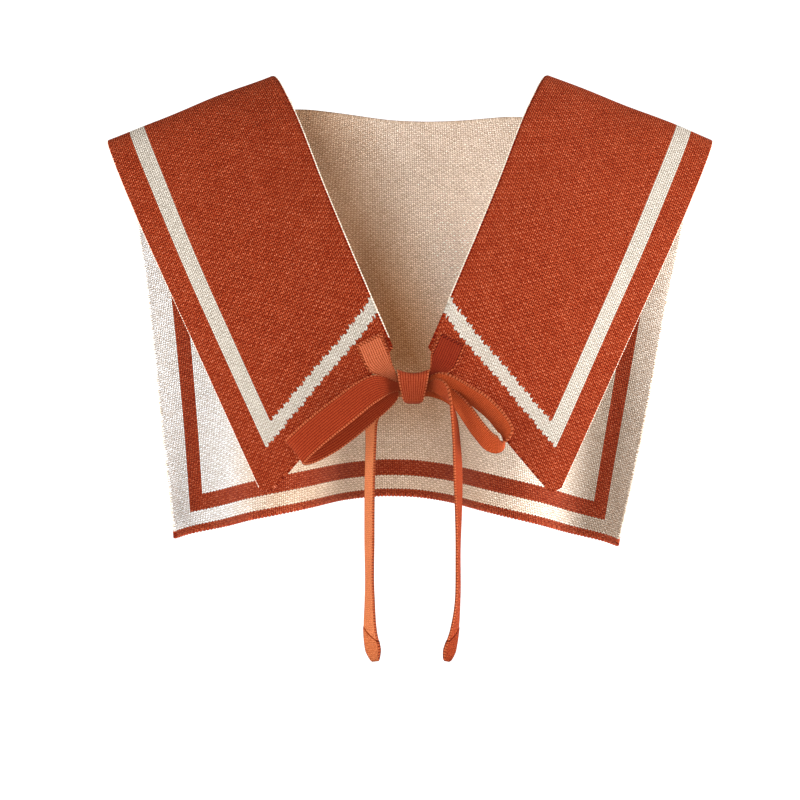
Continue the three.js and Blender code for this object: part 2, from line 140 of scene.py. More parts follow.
def front_directions(v):
    """The right panel's directions v from the ridge: down its run, towards its outer edge and out
    of its face. The run falls, leans in and pitches forward, and the outer edge is turned back."""
    at = v / front_outer
    pitch = np.radians(column(front_sections, "pitch", at))[..., None]
    lean = np.radians(ridge_slope + column(front_sections, "lean", at))
    turn = np.radians(column(front_sections, "turn", at))[..., None]
    zero = np.zeros_like(lean)
    run = np.stack((-np.sin(lean), zero, -np.cos(lean)), -1)
    along = run * np.cos(pitch) + forward * np.sin(pitch)
    across = np.stack((np.cos(lean), zero, -np.sin(lean)), -1) * np.cos(turn) - forward * np.sin(turn)
    return along, across, unit(np.cross(along, across))


def trace_front():
    """The panel's middle line: the sum of its run's small steps from the ridge."""
    steps = np.arange(0, front_outer + trace_step, trace_step) + trace_step / 2
    across = front_directions(np.zeros(1))[1][0]
    start = np.array((ridge_inner, 0.0, -fabric / 2)) + across * panel_width / 2
    run = np.cumsum(front_directions(steps)[0] * trace_step, 0)
    return start + np.vstack((np.zeros(3), run))


front_trace = trace_front()


def front_point(c, v):
    """The right panel's points: c from 0 at the neck edge to 1 at the outer edge, v from the ridge.
    The middle line plus the way across, where the neck edge is drawn in by the toe, a bulge along
    the middle and the bow's pull."""
    across, face = front_directions(v)[1:]
    crown = column(front_sections, "crown", v / front_outer) * panel_width
    toe = column(front_sections, "toe", v / front_outer)
    point = along_trace(front_trace, v) + across * ((c - 0.5 - toe * (1 - c)) * panel_width)[..., None]
    point = point + face * (crown * (1 - (2 * c - 1) ** 2))[..., None]
    away = np.hypot(c * panel_width, front_inner - v) / (pull_spread * panel_width)
    return point + pull_direction * (corner_pull * np.exp(-away * away))[..., None]


def front_end(c):
    """Where the panel ends at c: a slant from its neck corner to its rounded point, with a bulge."""
    tip = np.clip(1 - (1 - c) * panel_width / point_blunt, 0, None)
    slant = front_inner + (front_outer - front_inner) * c + hem_bulge * (1 - (2 * c - 1) ** 2)
    return slant - point_blunt * tip ** 2


def trace_back(share):
    """Levels of the back's right half, each the sum of small steps outwards from the middle, which
    turn forward round the body, then out and in again, and fall more at the side."""
    steps = round(back_length / trace_step) * 2
    fine = np.linspace(0, 1, steps + 1)
    middle_pitch = np.radians(column(back_levels, "pitch", (fine[1:] + fine[:-1]) / 2))[:, None]
    run = (down * np.cos(middle_pitch) - forward * np.sin(middle_pitch)) * back_length / steps
    run = np.vstack((np.zeros(3), np.cumsum(run, 0)))
    middle = np.stack([np.interp(share, fine, run[:, k]) for k in range(3)], -1)
    middle = middle + (0.0, neck_depth, -neck_drop)
    u = np.arange(0, half_width + trace_step, trace_step)[None, :] + trace_step / 2
    wrap, flare, curl, fall = (
        np.radians(column(back_levels, name, share))[:, None]
        for name in ("wrap", "flare", "curl", "middle")
    )
    side = np.radians(column(back_levels, "side", share) * ridge_slope)[:, None]
    wrap_from = wrap_start * half_neck
    wrap_to = half_neck + wrap_end * panel_width
    flare_to = half_neck + flare_end * panel_width
    turn = wrap * half_wave(u, wrap_from, wrap_to) - flare * half_wave(u, wrap_to, flare_to)
    turn = turn + curl * half_wave(u, flare_to, 2 * half_width - flare_to)
    fall = fall * smooth_step(u, 0, level_end * half_neck)
    fall = fall + (side - fall) * smooth_step(u, (wrap_from + wrap_to) / 2, wrap_to)
    step = np.stack((np.cos(turn) * np.cos(fall), -np.sin(turn) * np.cos(fall), -np.sin(fall)), -1)
    run = np.cumsum(step * trace_step, 1)
    return middle[:, None, :] + np.concatenate((np.zeros_like(run[:, :1]), run), 1)


def yoke_point(c, t, neck_line, below_line):
    """The stretch from the neckline's level to the ridge at share t: the cubic that leaves the back
    along its run and meets the ridge along the front panel's run."""
    start = neck_line[None, :]
    end = front_point(c, np.zeros_like(c))[None, :]
    length = np.linalg.norm(end - start, axis=-1, keepdims=True)
    leave = unit(start - below_line[None, :]) * length
    reach = unit(front_point(c, np.full_like(c, trace_step))[None, :] - end) * length
    t = t[:, None, None]
    h = t * t * (3 - 2 * t)
    return start * (1 - h) + end * h + leave * t * (1 - t) ** 2 - reach * t * t * (1 - t)


def tilted(points, degrees):
    """Points that fall towards the right by an angle."""
    fall = points[..., 0] * np.tan(np.radians(degrees))
    return points + down * fall[..., None]


def body_rows(cell):
    """The middle surface as three grids of points with the knit's measures at each: the back from
    hem to neckline, and the right and left sides from the neckline's level to their front hems. The
    measures are the distance from the middle, the distance from the back hem and the distance left
    to the front hem. The back's levels sway and tilt, and the sides lose their tilt by the ridge."""
    panel = np.linspace(0, 1, round(panel_width / cell) + 1)
    panel_u = half_neck + panel * panel_width
    neck = np.linspace(0, half_neck, round(half_neck / cell) + 1)[:-1]
    half = np.concatenate((neck, panel_u))
    u = np.concatenate((-half[:0:-1], half))
    share = np.linspace(1, 0, round(back_length / cell) + 1)
    back = along_trace(trace_back(share), np.abs(u))
    back[..., 0] = back[..., 0] * np.sign(u) + hem_sway * share[:, None] ** sway_curve
    back = tilted(back, neck_tilt + (hem_tilt - neck_tilt) * share[:, None])
    lines = along_trace(trace_back(np.array((0.0, trace_step / back_length))), panel_u)
    yoke_length = np.linalg.norm(front_point(panel, panel * 0) - lines[0], axis=-1)
    t = np.linspace(0, 1, round(yoke_length.mean() / cell) + 1)[1:]
    yoke = yoke_point(panel, t, *lines)
    tilt = neck_tilt * (1 - smooth_step(t, 0, 1))[:, None]
    v = np.linspace(0, 1, round(front_outer / cell) + 1)[1:, None] * front_end(panel)
    front = front_point(np.broadcast_to(panel, v.shape), v)
    mirror = np.array((-1.0, 1.0, 1.0))
    right = np.concatenate((tilted(yoke, tilt), front))
    left = np.concatenate((tilted(yoke, -tilt), front)) * mirror
    side_run = np.concatenate((t[:, None] * yoke_length, yoke_length + v)) + back_length
    total = back_length + yoke_length + front_end(panel)
    back_total = np.interp(np.abs(u), panel_u, total)
    back_run = back_length * (1 - share)[:, None]
    back_knit = np.stack(np.broadcast_arrays(u, back_run, back_total - back_run), -1)
    side_knit = np.stack(np.broadcast_arrays(panel_u, side_run, total - side_run), -1)
    return (back, right, left), (back_knit, side_knit, side_knit * mirror)


def joined_grids(back, side):
    """The indices of the back's grid and of both sides' grids, which start on its top row."""
    rows, columns = back.shape[:2]
    extra, across = side.shape[:2]
    back_index = np.arange(rows * columns).reshape(rows, columns)
    right = np.arange(extra * across).reshape(extra, across) + rows * columns
    left = right[:, ::-1] + extra * across
    right = np.vstack((back_index[-1, -across:], right))
    left = np.vstack((back_index[-1, :across], left))
    return back_index, left, right


def cells(index):
    """The four-sided cells of a grid of point indices."""
    return np.stack((index[:-1, :-1], index[:-1, 1:], index[1:, 1:], index[1:, :-1]), -1).reshape(-1, 4)


def face_normals(points, quads):
    """Each point's normal: the sum of the cross products of its cells' diagonals, at length 1."""
    a, b, c, d = (points[quads[:, k]] for k in range(4))
    cross = np.cross(c - a, d - b)
    total = np.zeros_like(points)
    for k in range(4):
        np.add.at(total, quads[:, k], cross)
    return unit(total)


millimetre = 0.001


def add_piece(name, points, quads, materials, kinds=None, knit=None, replaces=()):
    """A smooth-shaded mesh piece from points in millimetres and its faces, with each face's material
    number and each point's knit measures, riding on the collar."""
    mesh = bpy.data.meshes.new(name)
    mesh.from_pydata((points * millimetre).tolist(), [], quads.tolist())
    mesh.polygons.foreach_set("use_smooth", np.ones(len(quads), bool))
    for material in materials:
        mesh.materials.append(material)
    if kinds is not None:
        mesh.polygons.foreach_set("material_index", kinds)
    if knit is not None:
        mesh.attributes.new("knit", "FLOAT_VECTOR", "POINT").data.foreach_set("vector", knit.ravel())
    mesh.update()
    piece = bpy.data.objects.new(name, mesh)
    bpy.context.scene.collection.objects.link(piece)
    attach(piece, "root")
    if replaces:
        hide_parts(*replaces)
    return piece


class Term:
    """A socket of a node tree that takes the usual arithmetic."""

    def __init__(self, tree, socket):
        self.tree = tree
        self.socket = socket

    def math(self, operation, *values):
        """A Math node of the operation on the values, in order."""
        node = self.tree.nodes.new("ShaderNodeMath")
        node.operation = operation
        for slot, value in zip(node.inputs, values):
            if isinstance(value, Term):
                self.tree.links.new(value.socket, slot)
            else:
                slot.default_value = value
        return Term(self.tree, node.outputs[0])

    def __add__(self, other):
        return self.math("ADD", self, other)

    def __sub__(self, other):
        return self.math("SUBTRACT", self, other)

    def __rsub__(self, other):
        return self.math("SUBTRACT", other, self)

    def __mul__(self, other):
        return self.math("MULTIPLY", self, other)

    def __truediv__(self, other):
        return self.math("DIVIDE", self, other)

    def __pow__(self, other):
        return self.math("POWER", self, other)

    def __gt__(self, other):
        return self.math("GREATER_THAN", self, other)

    __radd__ = __add__
    __rmul__ = __mul__

    def floor(self):
        """The whole number at or below it."""
        return self.math("FLOOR", self)

    def size(self):
        """It without its sign."""
        return self.math("ABSOLUTE", self)

    def clamped(self):
        """It, kept from 0 to 1."""
        return self.math("MINIMUM", self.math("MAXIMUM", self, 0.0), 1.0)


def new_material(name):
    """A material with its node tree."""
    material = bpy.data.materials.new(name)
    material.use_nodes = True
    return material, material.node_tree


def knit_measures(tree):
    """The piece's three knit measures."""
    source = tree.nodes.new("ShaderNodeAttribute")
    source.attribute_name = "knit"
    parts = tree.nodes.new("ShaderNodeSeparateXYZ")
    tree.links.new(source.outputs["Vector"], parts.inputs[0])
    return [Term(tree, parts.outputs[k]) for k in range(3)]


def point_of(tree, *terms):
    """Terms as the parts of a vector."""
    node = tree.nodes.new("ShaderNodeCombineXYZ")
    for slot, term in zip(node.inputs, terms):
        tree.links.new(term.socket, slot)
    return node.outputs[0]


def noise(tree, vector, scale, detail=2.0):
    """Smooth noise from 0 to 1, scale lumps to the unit."""
    node = tree.nodes.new("ShaderNodeTexNoise")
    node.inputs["Scale"].default_value = scale
    node.inputs["Detail"].default_value = detail
    tree.links.new(vector, node.inputs["Vector"])
    return Term(tree, node.outputs[0])


def chance(tree, *terms):
    """A number from 0 to 1 for each cell."""
    node = tree.nodes.new("ShaderNodeTexWhiteNoise")
    tree.links.new(point_of(tree, *terms), node.inputs["Vector"])
    return Term(tree, node.outputs[0])


def mixed(tree, share, first, second):
    """A colour that goes from the first to the second as share goes from 0 to 1."""
    node = tree.nodes.new("ShaderNodeMix")
    node.data_type = "RGBA"
    tree.links.new(share.socket, node.inputs[0])
    for slot, colour in ((node.inputs[6], first), (node.inputs[7], second)):
        if isinstance(colour, tuple):
            slot.default_value = (*colour, 1)
        else:
            tree.links.new(colour, slot)
    return node.outputs[2]


def times(tree, colour, *shares):
    """A colour whose three parts are each multiplied by a number of their own."""
    node = tree.nodes.new("ShaderNodeVectorMath")
    node.operation = "MULTIPLY"
    if isinstance(colour, tuple):
        node.inputs[0].default_value = colour
    else:
        tree.links.new(colour, node.inputs[0])
    tree.links.new(point_of(tree, *shares), node.inputs[1])
    return node.outputs[0]


leg_roundness = 0.5
end_roundness = 0.4


def stitches(tree, across, along, wale, course, slant):
    """Columns of knit stitches, each stitch a V of two legs: the stitch's numbers, its height, which
    is round across each leg and falls away at its ends, and its place from 0 at the column's middle
    to 1 at the groove between columns."""
    number = (across / wale).floor()
    fold = ((across / wale - number) * 2 - 1).size()
    run = along / course + fold * slant
    row = run.floor()
    leg = fold * 2 - 1
    end = run - row
    height = (1 - leg * leg) ** leg_roundness * ((end * (1 - end)) * 4) ** end_roundness
    return number, row, height, fold


stitch_chance = 0.2
stitch_turn = 0.4
stitch_tone = 0.76
fibre_scale = 2.2
fibre_sharpness = 3.0
fibre_range = 0.9
fibre_tone = 0.5
# Painted shade in the pits between the stitches' legs.
pit_range = 1.4
pit_tone = 0.05
yarn_roughness = 0.92
yarn_gloss = 0.06
yarn_sheen = 0.08
yarn_sheen_roughness = 0.5
yarn_relief = 0.6


def yarn_tone(tree, place, number, row, height):
    """The yarn's light and dark, about 1: a tone for each stitch, which alternates from one to the
    next, fibres finer than a stitch, and painted shade in the pits between the legs."""
    half = (number + row) * 0.5
    turn = half - half.floor()
    stitch = chance(tree, number, row, row) * stitch_chance + turn * stitch_turn + stitch_tone
    fibre = (noise(tree, place, fibre_scale, detail=0.0) * fibre_sharpness - 1.0).clamped()
    return stitch * (fibre * fibre_range + fibre_tone) * (height * pit_range + pit_tone)


def toned(tree, colour, tone, powers):
    """A colour in light and dark: each part times the tone to its own power, so that the light
    stitches are also paler and the pits also deeper in colour."""
    return times(tree, colour, *(tone ** power for power in powers))


def knit_shader(tree, colour, height, depth, fuzz):
    """A matt yarn surface with a faint fuzz of its own colour, whose bump is the height, depth in
    millimetres."""
    shader = tree.nodes["Principled BSDF"]
    shader.inputs["Roughness"].default_value = yarn_roughness
    shader.inputs["Specular IOR Level"].default_value = yarn_gloss
    shader.inputs["Sheen Weight"].default_value = yarn_sheen
    shader.inputs["Sheen Roughness"].default_value = yarn_sheen_roughness
    shader.inputs["Sheen Tint"].default_value = (*fuzz, 1)
    bump = tree.nodes.new("ShaderNodeBump")
    bump.inputs["Strength"].default_value = 1.0
    bump.inputs["Distance"].default_value = depth * millimetre
    tree.links.new(height.socket, bump.inputs["Height"])
    tree.links.new(bump.outputs[0], shader.inputs["Normal"])
    tree.links.new(colour, shader.inputs["Base Color"])


# The double knit's two faces. A stripe runs round the collar in from its edges, along the wales at
# the sides and stepping from stitch to stitch on the slanted front hems.
rust = (0.29, 0.0325, 0.0075)
outer_cream = (0.55, 0.49, 0.415)
inner_cream = (0.93, 0.775, 0.64)
# A paler cream: painted light on the inside's left side.
painted_light_cream = (0.74, 0.70, 0.66)
rust_powers = (1.1, 2.4, 3.5)
outer_cream_powers = (0.55, 0.6, 0.68)
inner_cream_powers = (0.8, 1.0, 1.2)
rust_fuzz = (0.8, 0.25, 0.1)
cream_fuzz = (1.0, 0.85, 0.7)
wale = 2.65
rust_course = 2.05
cream_course = 1.65
stitch_slant = 0.55
side_margin = 16.3
side_stripe = 11.7
hem_margin = 14.8
hem_stripe = 10.4
point_margin = 21.0
point_stripe = 8.7
hem_trim = 3.7
hem_rise = (front_outer - front_inner) / panel_width
# The inside's painted light and shade: a painted shadow cast by the left panel into the back, painted
# shade at the right side and towards the top, and painted light at the left side and right of the
# shadow.
shade_place = 91.0
shade_slant = 0.447
shade_width = 56.0
shade_start = 1.15
shade_curve = 1.3
shade_loss = 0.52
shade_end = -250.0
shade_fade = 60.0
shade_rest = 0.5
shade_powers = (1.0, 1.45, 1.9)
top_shade_loss = 0.1
top_fade = 100.0
behind_fade = 20.0
lit_place = 40.0
lit_fade = 50.0
lit_gain = 0.14
deep_place = 80.0
deep_shade_warmth = (0.0, 0.22, 0.42)
right_shade_losses = (0.5, 0.54, 0.58)
side_place = 95.0
side_rim = 150.0
side_rim_share = 0.8
side_fade = 35.0
cloth_lump = 0.05
cloth_range = 0.16


def ramp(distance, fade):
    """A share from 0 where the distance is 0 to 1 where it is the fade."""
    return (distance / fade).clamped()


def depth_shade(tree, cream):
    """The inside's cream with painted light and shade, by ramps over the place on the piece: paled by
    painted light at the left side, darker by painted shade at the right side but for its rim and a
    little towards the top, and warmer and darker in the back's depth, a painted shadow of the left
    panel. The shadow is full along a slanted line at the left panel's neck edge, fades out over its
    width towards the right and is weaker below the bow, and the back right of it is a little lighter
    by painted light."""
    source = tree.nodes.new("ShaderNodeTexCoord")
    parts = tree.nodes.new("ShaderNodeSeparateXYZ")
    tree.links.new(source.outputs["Object"], parts.inputs[0])
    x, y, z = (Term(tree, parts.outputs[k]) / millimetre for k in range(3))
    left = ramp(0 - x - side_place, side_fade)
    right = ramp(x - side_place, side_fade) * (1 - ramp(x - side_rim, side_fade) * side_rim_share)
    away = x + z * shade_slant + shade_place
    share = (shade_start - away / shade_width).clamped() ** shade_curve
    above = ramp(z - shade_end, shade_fade)
    below = above * (1 - shade_rest) + shade_rest
    top = ramp(z - shade_end - top_fade, top_fade)
    behind = ramp(y, behind_fade) * (1 - left)
    lit = ramp(away - lit_place, lit_fade) * ramp(0 - z - lit_fade, lit_fade) * (1 - right)
    shade = (1 - share * below * behind * shade_loss) * (1 - top * behind * top_shade_loss)
    deep = ramp(0 - z - deep_place, deep_place) * share * behind * above
    light = lit * lit_gain * behind + 1
    tint = (
        (1 - right * loss) * (1 - deep * warmth) * light
        for loss, warmth in zip(right_shade_losses, deep_shade_warmth)
    )
    painted_side_cream = mixed(tree, left, times(tree, cream, *tint), painted_light_cream)
    return toned(tree, painted_side_cream, shade, shade_powers)


def body_knit(name, course, cream, cream_powers, rust_ground, fuzz):
    """One face of the double knit: a ground in one colour, the stripe in the other between an outer
    and an inner outline that follow the edges at their margins, and a rust trim along the back hem.
    Each stitch has one colour, taken at its middle."""
    material, tree = new_material(name)
    u, v, left = knit_measures(tree)
    number, row, height, _ = stitches(tree, u, v, wale, course, stitch_slant)
    stitch_u = (number + 0.5) * wale
    stitch_v = (row + 0.5 - stitch_slant / 2) * course
    edge = half_width - stitch_u.size()
    stitch_left = left + (v - stitch_v) + (stitch_u.size() - u.size()) * hem_rise
    point = stitch_left / np.hypot(1, hem_rise)
    outer = (edge > side_margin) * (stitch_v > hem_margin) * (point > point_margin)
    inner = (
        (edge > side_margin + side_stripe)
        * (stitch_v > hem_margin + hem_stripe)
        * (point > point_margin + point_stripe)
    )
    band = outer * (1 - inner)
    pale = (band if rust_ground else 1 - band) * (stitch_v > hem_trim)
    place = point_of(tree, u, v, u)
    cloth = noise(tree, place, cloth_lump) * cloth_range + 1 - cloth_range / 2
    tone = yarn_tone(tree, place, number, row, height) * cloth
    powers = (pale * (b - a) + a for a, b in zip(rust_powers, cream_powers))
    # The inside's cream carries painted light and shade by its place on the piece.
    shaded = cream if rust_ground else depth_shade(tree, cream)
    colour = toned(tree, mixed(tree, pale, rust, shaded), tone, powers)
    knit_shader(tree, colour, height, yarn_relief, fuzz)
    return material


outside_knit = body_knit(
    "collar_knit_outside", rust_course, outer_cream, outer_cream_powers, True, rust_fuzz
)
inside_knit = body_knit(
    "collar_knit_inside", cream_course, inner_cream, inner_cream_powers, False, cream_fuzz
)

# The knitted piece itself: the middle surface with gentle waves, a face on each side of it half the
# fabric's thickness away, and rounded edges all round. The back hem is a little thicker.
body_cell = 3.0
rim_turns = 6
rim_inset = 0.8
hem_gain = 0.25
hem_fade = 4.0
cloth_waves = table(
    "height across along start",
    (0.5, 31, 47, 0.6),
    (0.35, 17, -39, 2.1),
    (0.22, 9.5, 23, 4.0),
)


def waves(knit):
    """Gentle unevenness of the cloth: a sum of slow sine waves over the knit's measures."""
    phase = knit[:, :1] / cloth_waves["across"] + knit[:, 1:2] / cloth_waves["along"]
    return (cloth_waves["height"] * np.sin(phase + cloth_waves["start"])).sum(-1)


def collar_shell():
    """The shell's points, faces, face kinds and knit measures, with its rim's loop of middle points
    and its directions out of the cloth and out of the edge."""
    grids, measures = body_rows(body_cell)
    grid, left, right = joined_grids(*grids[:2])
    points = np.concatenate([a.reshape(-1, 3) for a in grids])
    knit = np.concatenate([a.reshape(-1, 3) for a in measures])
    quads = np.concatenate([cells(index) for index in (grid, left, right)])
    normals = face_normals(points, quads)
    points = points + normals * waves(knit)[:, None]
    half = fabric / 2 * (1 + hem_gain * np.exp(-((knit[:, 1:2] / hem_fade) ** 2)))
    across = grids[1].shape[1]
    loop = np.concatenate(
        (
            grid[0, :-1],
            grid[:-1, -1],
            right[:-1, -1],
            right[-1, :0:-1],
            right[:0:-1, 0],
            grid[-1, -across:across - 1:-1],
            left[:-1, -1],
            left[-1, :0:-1],
            left[:0:-1, 0],
            grid[:0:-1, 0],
        )
    )
    tangent = np.roll(points[loop], -1, 0) - np.roll(points[loop], 1, 0)
    out = unit(np.cross(tangent, normals[loop]))
    points[loop] -= out * rim_inset
    angle = np.linspace(0, np.pi, rim_turns + 1)[1:-1, None, None]
    rim = points[loop] + (normals[loop] * np.cos(angle) + out * np.sin(angle)) * half[loop]
    count = len(points)
    bands = np.arange((rim_turns - 1) * len(loop)).reshape(rim_turns - 1, -1) + 2 * count
    rings = np.vstack((loop, bands, loop + count))
    rings = np.hstack((rings, rings[:, :1]))
    rim_quads = cells(rings)[:, ::-1]
    shell = np.concatenate((points + normals * half, points - normals * half, rim.reshape(-1, 3)))
    shell_knit = np.concatenate((knit, knit, np.tile(knit[loop], (rim_turns - 1, 1))))
    faces = np.concatenate((quads, quads[:, ::-1] + count, rim_quads))
    rim_kind = np.repeat(np.arange(rim_turns) < rim_turns / 2, len(loop))
    kinds = np.concatenate((np.ones(len(quads)), np.zeros(len(quads)), rim_kind)).astype(int)
    edge_out = np.zeros_like(points)
    edge_out[loop] = out
    edges = {
        "hem": grid[0],
        "outer_right": np.concatenate((grid[:, -1], right[1:, -1])),
        "outer_left": np.concatenate((grid[:, 0], left[1:, 0])),
        "neck_right": right[:, 0],
        "neck_left": left[:, -1],
    }
    lines = {name: (points[line], normals[line], edge_out[line]) for name, line in edges.items()}
    return shell, faces, kinds, shell_knit, lines


shell, shell_faces, shell_kinds, shell_knit, edge_lines = collar_shell()
collar = add_piece(
    "collar_knit",
    shell,
    shell_faces,
    (outside_knit, inside_knit),
    shell_kinds,
    shell_knit,
    ("collar_body",),
)

# The selvedge: a cream chain of stitches that is knitted along the outer edges and the neck edges,
# and the back hem's rust cast-on edge, which rolls into a thicker chain.
chain_pitch = 1.9
chain_radius = 0.85
chain_waist = 0.5
chain_curve = 0.6
chain_end = 0.05
chain_out = 0.9
hem_pitch = 2.65
hem_radius = 1.35
hem_corner = 5.0
right_neck_corner = 32.0
left_neck_corner = 6.0
chain_turns = 8
chain_steps = 6
chain_relief = 0.3
bead_range = 0.5
bead_tone = 0.75
chain_fibre_scale = 1.4
chain_fibre_range = 1.2
chain_fibre_tone = 0.4
selvedge_cream = (0.86, 0.76, 0.62)
hem_rust = (0.36, 0.045, 0.013)


def way_along(places):
    """How far along a line of places each of them is."""
    return np.concatenate(([0], np.cumsum(np.linalg.norm(np.diff(places, axis=0), axis=-1))))


def chain(line, pitch, radius, start=0.0, end=0.0):
    """A beaded tube along an edge line, less a length at its start and end: its points, faces and
    knit measures. Its radius is the waist plus the rest times a power of the size of a sine whose
    half wave is the pitch, and it stands out from the edge."""
    places, normals, out = line
    length = way_along(places)
    last = length[-1] - end
    beads = round((last - start) / pitch)
    s = np.linspace(start, last, beads * chain_steps + 1)
    middle, normal, away = (
        np.stack([np.interp(s, length, part[:, k]) for k in range(3)], -1)
        for part in (places, normals, out)
    )
    middle = middle + away * chain_out
    phase = (s - start) / (last - start) * beads
    bead = np.abs(np.sin(np.pi * phase)) ** chain_curve
    size = radius * (chain_waist + (1 - chain_waist) * bead)
    size[[0, -1]] = radius * chain_end
    angle = (np.arange(chain_turns) / chain_turns * 2 * np.pi)[None, :, None]
    ring = normal[:, None] * np.cos(angle) + away[:, None] * np.sin(angle)
    points = middle[:, None] + ring * size[:, None, None]
    index = np.arange(points.shape[0] * chain_turns).reshape(-1, chain_turns)
    faces = cells(np.hstack((index, index[:, :1])))
    knit = np.broadcast_to(np.stack((phase, s, phase * 0), -1)[:, None], points.shape)
    return points.reshape(-1, 3), faces, knit.reshape(-1, 3)


def outward(points, faces):
    """Faces wound so that their normals point out of the closed form that they make."""
    a, b, c = (points[faces[:, k]] for k in range(3))
    volume = (a * np.cross(b, c)).sum() + (a * np.cross(c, points[faces[:, 3]])).sum()
    return faces if volume > 0 else faces[:, ::-1]


def together(parts):
    """Several (points, faces, measures) forms as one."""
    points, faces, knit = zip(*parts)
    starts = np.cumsum([0] + [len(part) for part in points[:-1]])
    faces = [outward(part, quads) + start for part, quads, start in zip(points, faces, starts)]
    return np.concatenate(points), np.concatenate(faces), np.concatenate(knit)


def chain_knit(name, ground, powers, fuzz):
    """The chain's yarn: a tone for each bead and finer fibres."""
    material, tree = new_material(name)
    phase, run, _ = knit_measures(tree)
    number = phase.floor()
    bead = chance(tree, number, number, number) * bead_range + bead_tone
    fibre = noise(tree, point_of(tree, run, phase, run), chain_fibre_scale, detail=1.0)
    fibre = fibre * chain_fibre_range + chain_fibre_tone
    knit_shader(tree, toned(tree, ground, bead * fibre, powers), fibre, chain_relief, fuzz)
    return material


def edge_piece(name, material, *chains):
    """A chain or chains as a piece of the collar's edge."""
    points, faces, knit = together(chains)
    add_piece(name, points, faces, (material,), knit=knit)


selvedge_knit = chain_knit("selvedge_knit", selvedge_cream, outer_cream_powers, cream_fuzz)
hem_knit = chain_knit("hem_knit", hem_rust, rust_powers, rust_fuzz)
edge_piece(
    "selvedge_chain",
    selvedge_knit,
    chain(edge_lines["outer_right"], chain_pitch, chain_radius, start=hem_corner),
    chain(edge_lines["outer_left"], chain_pitch, chain_radius, start=hem_corner),
    chain(edge_lines["neck_right"], chain_pitch, chain_radius, end=right_neck_corner),
    chain(edge_lines["neck_left"], chain_pitch, chain_radius, end=left_neck_corner),
)
edge_piece("hem_chain", hem_knit, chain(edge_lines["hem"], hem_pitch, hem_radius))

# The ties: flat knitted tubes, finer than the collar, with a raised chain of stitches along both
# edges. Each is sewn flat on a neck corner and runs into the knot; two loops and two ends come out.
strap_width = 19.0
strap_thick = 2.6
strap_gap = 0.5
sewn_length = 17.0
sewn_inset = 1.5
sewn_lift = 1.0
knot_width = 20.0
knot_room = 2.3
knot_below = 25.5
knot_ahead = 7.0
bow_offset = 1.6
loop_reach = 75.0
tail_drop = 180.0
gather = 0.34
knot_square = 0.6
knot_places = (0.08, 0.3, 0.56)
knot_sections = 16
knot_top = 1.06
knot_taper = 0.28
knot_point = 0.35
knot_point_curve = 4
sewn_places = (1.0, 0.5, 0.0)
bend_place = 0.45
bend_width = 0.5
bend_lean = 0.4
gathered = gather * strap_width
layer_depth = strap_thick + strap_gap
half_slot = (gathered + strap_gap) / 2
knot_height = 2 * (gathered + knot_room + strap_thick) + strap_gap
knot_depth = 3 * strap_thick + 2 * (strap_gap + knot_room + strap_thick)
neck_corner = front_point(np.zeros(1), np.full(1, front_inner))[0]
knot = np.array((bow_offset, neck_corner[1] - knot_ahead, neck_corner[2] - knot_below))
strap_cell = 1.0
strap_turns = 28
strap_square = 0.6
strap_middle = 0.8
strap_edge = 0.16
end_round = 2.2
end_least = 0.01
knot_dip = 2.8
tip_length = 18.0
fold_slant = 5.0
fold_line = 0.6
fold_gain = 0.5
curve_steps = 1200
curve_nudge = 0.001
least_chord = 0.0001

# The straps' sections outside the knot, from the knot's side outwards.
left_loop = table(
    "x y z ax ay az width",
    (0.215, -0.63, -0.01, 0.45, -0.12, -0.85, 0.9),
    (0.562, -0.95, -0.22, 0.6, 0.0, -0.8, 1.0),
    (0.885, -0.95, -0.45, 0.62, 0.05, -0.78, 1.0),
    (1.0, -0.59, -0.555, 0.62, 0.05, -0.78, 1.0),
    (0.908, -0.18, -0.55, 0.6, 0.05, -0.8, 1.0),
    (0.677, 0.0, -0.45, 0.58, 0.08, -0.8, 1.0),
    (0.354, 0.06, -0.25, 0.5, 0.1, -0.85, 0.9),
    (0.077, 0.0, -0.075, 0.2, 0.05, -0.95, 0.6),
)
right_loop = table(
    "x y z ax ay az width",
    (0.06, -0.02, 0.052, 0.0, 0.1, -1.0, 0.45),
    (0.169, -0.1, 0.045, -0.2, 0.7, -0.6, 0.75),
    (0.331, -0.12, -0.03, -0.26, 0.83, -0.49, 0.95),
    (0.523, -0.2, -0.137, -0.26, 0.83, -0.49, 1.0),
    (0.677, -0.24, -0.265, -0.26, 0.83, -0.49, 1.0),
    (0.769, -0.24, -0.4, -0.28, 0.83, -0.49, 1.0),
    (0.729, -0.24, -0.49, -0.3, 0.8, -0.5, 1.0),
    (0.631, -0.22, -0.49, -0.3, 0.8, -0.5, 1.0),
    (0.498, -0.16, -0.375, -0.3, 0.83, -0.45, 1.0),
    (0.388, -0.02, -0.24, -0.3, 0.8, -0.45, 0.95),
    (0.308, 0.1, -0.15, -0.25, 0.75, -0.55, 0.8),
    (0.192, 0.18, -0.07, -0.1, 0.4, -0.85, 0.6),
)
left_tail = table(
    "x y z ax ay az width",
    (0.05, 0.2, -0.02, 0.1, -0.1, -1.0, 0.5),
    (0.158, 0.47, -0.05, 0.4, -0.6, -0.6, 0.75),
    (0.25, 0.53, -0.11, 0.45, -0.88, -0.15, 0.85),
    (0.267, 0.47, -0.21, 0.38, -0.9, 0.0, 0.85),
    (0.279, 0.4, -0.36, 0.36, -0.91, 0.0, 0.85),
    (0.282, 0.36, -0.56, 0.35, -0.92, 0.0, 0.85),
    (0.279, 0.32, -0.76, 0.35, -0.92, 0.0, 0.85),
    (0.273, 0.3, -0.88, 0.5, -0.85, -0.1, 0.85),
    (0.244, 0.28, -0.95, 0.7, -0.65, -0.2, 0.7),
    (0.221, 0.28, -0.99, 0.75, -0.55, -0.3, 0.3),
)
